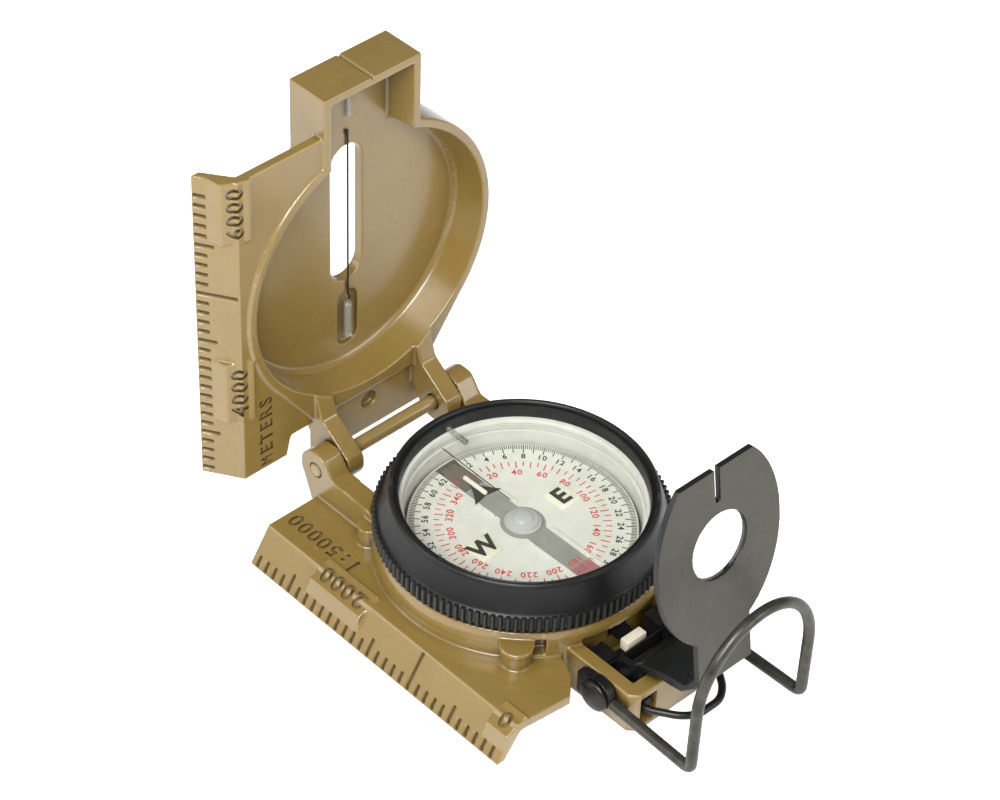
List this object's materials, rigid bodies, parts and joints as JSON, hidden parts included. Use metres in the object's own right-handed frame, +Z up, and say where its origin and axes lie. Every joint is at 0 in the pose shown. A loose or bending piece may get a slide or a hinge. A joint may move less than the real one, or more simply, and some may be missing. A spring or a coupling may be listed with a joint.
{
  "type": "sighting compass",
  "caption": "Folding lensatic sighting compass with a hinged cover and sighting wire, turning bezel, floating dial, folding rear sight and straight-edge ruler.",
  "frame": {"origin": "on the dial's axis, at the level of the underside", "axes": "+Z up along the dial axis, +Y the line of sight towards the cover hinge, +X to the right of someone sighting; the ruler runs along -X"},
  "size_m": [0.0595, 0.1025, 0.0837],
  "materials": {
    "tan_paint": "semi-gloss sand paint on die-cast aluminium",
    "black_paint": "satin black",
    "grey_paint": "dark grey-brown coated steel",
    "black_steel": "black oxide steel",
    "steel": "bright",
    "brass": "turned",
    "bowl": "off-white coat on copper",
    "aluminium": "satin",
    "crystal": "clear, flat",
    "clear_plastic": "clear",
    "card": "white, printed",
    "vial": "clear tube, pale coating inside",
    "luminous_pad": "cream",
    "nylon": "cream, smooth",
    "rubber": "matte"
  },
  "bodies": {
    "base": {"base_casting": "tan_paint", "base_bottom_plate": "aluminium", "damping_cup": "bowl", "pivot_post": "brass", "fixed_crystal": "crystal", "crystal_gasket": "rubber", "click_spring": "steel", "hinge_pin": "tan_paint", "hinge_washer_left": "black_steel", "hinge_washer_right": "black_steel", "pivot_axle": "black_steel", "sight_spring": "steel"},
    "cover": {"cover_casting": "tan_paint", "sight_wire": "black_steel", "cover_lower_vial": "vial", "cover_upper_vial": "vial"},
    "bezel": {"bezel_ring": "black_paint", "bezel_glass": "crystal", "bezel_vial": "vial"},
    "lever": {"lift_lever": "nylon"},
    "sleeve": {"lift_sleeve": "brass"},
    "dial": {"dial_card": "card", "dial_magnet": "steel", "dial_jewel_cap": "clear_plastic", "north_vial": "vial", "east_mark": "luminous_pad", "west_mark": "luminous_pad"},
    "rear_sight": {"rear_sight_plate": "grey_paint", "magnifying_lens": "crystal"},
    "thumb_loop": {"thumb_loop": "grey_paint"},
    "bail": {"lanyard_bail": "black_steel"}
  },
  "joints": [
    {"name": "cover_hinge", "type": "hinge", "parent": "base", "child": "cover", "pos_m": [0, 0.0332, 0.0124], "axis": [-1, 0, 0], "range_deg": [-91.24, 88.76]},
    {"name": "rear_sight", "type": "hinge", "parent": "base", "child": "rear_sight", "pos_m": [0, -0.0316, 0.0058], "axis": [1, 0, 0], "range_deg": [-80.6, 2]},
    {"name": "thumb_loop", "type": "hinge", "parent": "base", "child": "thumb_loop", "pos_m": [0, -0.0316, 0.0058], "axis": [1, 0, 0], "range_deg": [-8, 90]},
    {"name": "lanyard_bail", "type": "hinge", "parent": "base", "child": "bail", "pos_m": [0, -0.037, 0.0041], "axis": [1, 0, 0], "range_deg": [-40, 45]},
    {"name": "bezel_turn", "type": "hinge", "parent": "base", "child": "bezel", "pos_m": [0, 0, 0.012], "axis": [0, 0, 1], "continuous": true},
    {"name": "lift_lever", "type": "hinge", "parent": "base", "child": "lever", "pos_m": [0, -0.021, 0.006], "axis": [1, 0, 0], "range_deg": [-0.04, 1.12]},
    {"name": "dial_lift", "type": "slide", "parent": "base", "child": "sleeve", "axis": [0, 0, 1], "range_m": [-0.000012, 0.000405]},
    {"name": "dial_turn", "type": "hinge", "parent": "sleeve", "child": "dial", "pos_m": [0, 0, 0.013], "axis": [0, 0, 1], "continuous": true}
  ],
  "couplings": [
    {"joint": "lift_lever", "follows": "rear_sight", "ratio": -0.013648},
    {"joint": "dial_lift", "follows": "rear_sight", "m_per_rad": -0.00028435}
  ]
}
